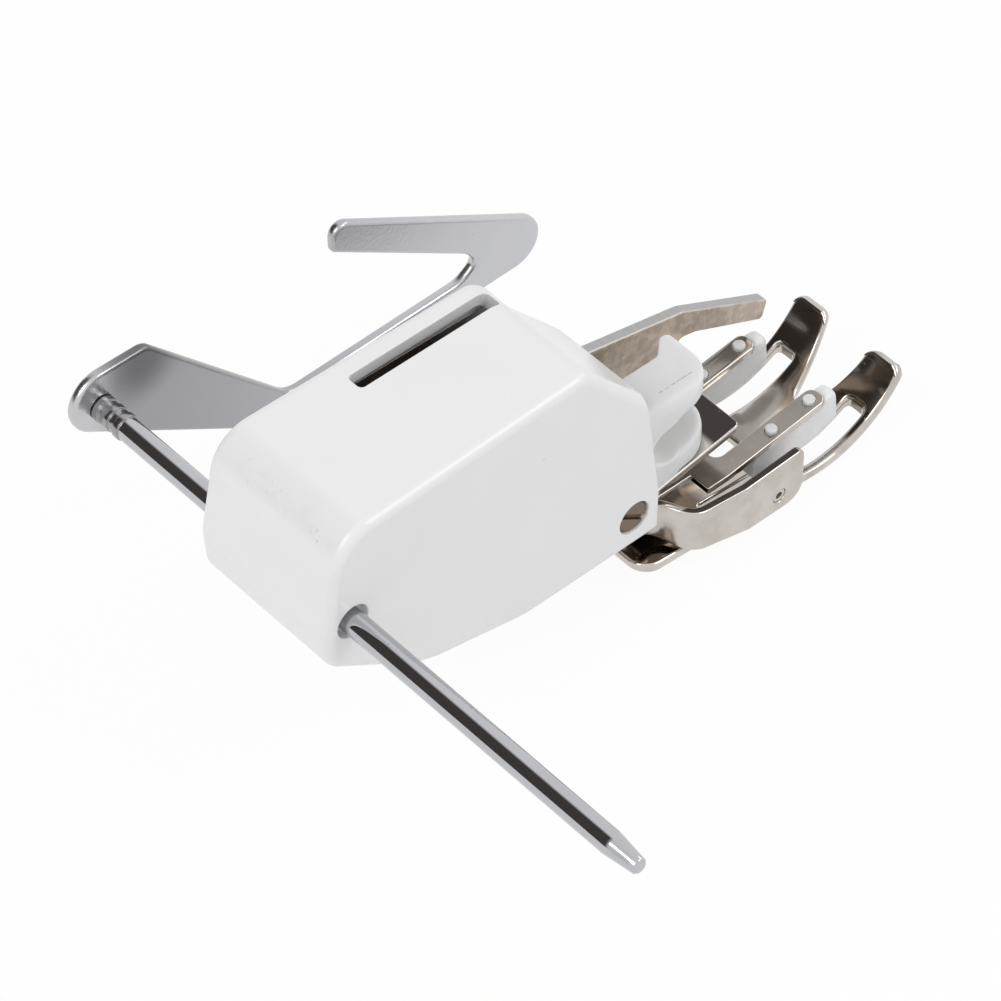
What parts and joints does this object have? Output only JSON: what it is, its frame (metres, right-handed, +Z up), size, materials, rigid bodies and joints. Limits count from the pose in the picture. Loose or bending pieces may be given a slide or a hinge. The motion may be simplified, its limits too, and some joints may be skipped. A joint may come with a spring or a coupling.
{
  "type": "sewing machine presser foot",
  "caption": "Low-shank walking foot with a white moulded housing, an open metal toe, a forked needle-clamp lever, walking feed pads and a chrome quilting guide on a sliding rod.",
  "frame": {"origin": "middle of the mouth of the presser bar groove, on the shank screw axis", "axes": "+X to the operator's right along the shank screw axis, +Y to the back of the machine, +Z up along the presser bar"},
  "size_m": [0.0732, 0.0716, 0.033],
  "materials": {
    "white_moulding": "gloss white moulding with light scuffs",
    "screw_steel": "dulled nickel over steel",
    "nylon": "milky white nylon",
    "nickel_sheet": "bright nickel plate",
    "nickel_sole": "polished nickel plate",
    "nickel_lever": "bright nickel plate with edge burrs",
    "nickel_carrier": "polished nickel plate",
    "pin_steel": "turned steel",
    "spring_steel": "spring wire",
    "clear_rubber": "milky translucent rubber",
    "guide_chrome": "bright chrome"
  },
  "bodies": {
    "frame": {"housing_cover": "white_moulding", "cover_screw": "screw_steel", "chassis": "nickel_sheet", "shank_block": "nylon", "shank_rivets": "nickel_sheet", "sole_pins": "pin_steel", "lifter_pin": "pin_steel", "bush_left": "nylon", "bush_right": "nylon"},
    "lever": {"fork_lever": "nickel_lever", "lever_shaft": "pin_steel", "lift_cam": "nickel_lever", "shaft_clip": "spring_steel"},
    "lifter": {"lifter": "nickel_sheet", "follower_roller": "pin_steel", "follower_pin": "pin_steel", "walk_studs": "pin_steel", "lift_spring": "spring_steel", "walk_spring": "spring_steel"},
    "carrier": {"feed_carrier": "nickel_carrier", "feed_pad_left": "clear_rubber", "feed_pad_right": "clear_rubber"},
    "sole": {"sole": "nickel_sole"},
    "guide_rod": {"guide_rod": "guide_chrome"},
    "guide_plate": {"guide_plate": "guide_chrome"}
  },
  "joints": [
    {"name": "lever_swing", "type": "hinge", "parent": "frame", "child": "lever", "pos_m": [0, 0.028, 0.008], "axis": [-1, 0, 0], "range_deg": [0, 26], "stiffness_Nm_per_rad": 0.02, "springref_deg": -20.05},
    {"name": "feed_lift", "type": "hinge", "parent": "frame", "child": "lifter", "pos_m": [0, 0.0195, 0], "axis": [1, 0, 0], "range_deg": [0, 6.2]},
    {"name": "feed_walk", "type": "slide", "parent": "lifter", "child": "carrier", "axis": [0, 1, 0], "range_m": [0, 0.003], "stiffness_N_per_m": 60, "springref_m": -0.003},
    {"name": "sole_tilt", "type": "hinge", "parent": "frame", "child": "sole", "pos_m": [-0.0005, -0.0109, -0.0116], "axis": [-1, 0, 0], "range_deg": [0, 10]},
    {"name": "guide_slide", "type": "slide", "parent": "frame", "child": "guide_rod", "axis": [1, 0, 0], "range_m": [-0.012, 0.03]},
    {"name": "guide_turn", "type": "hinge", "parent": "guide_rod", "child": "guide_plate", "pos_m": [0.02705, 0.0399, 0.0079], "axis": [1, 0, 0], "range_deg": [-90, 90]}
  ],
  "couplings": [
    {"joint": "feed_lift", "follows": "lever_swing", "ratio": 0.238}
  ]
}
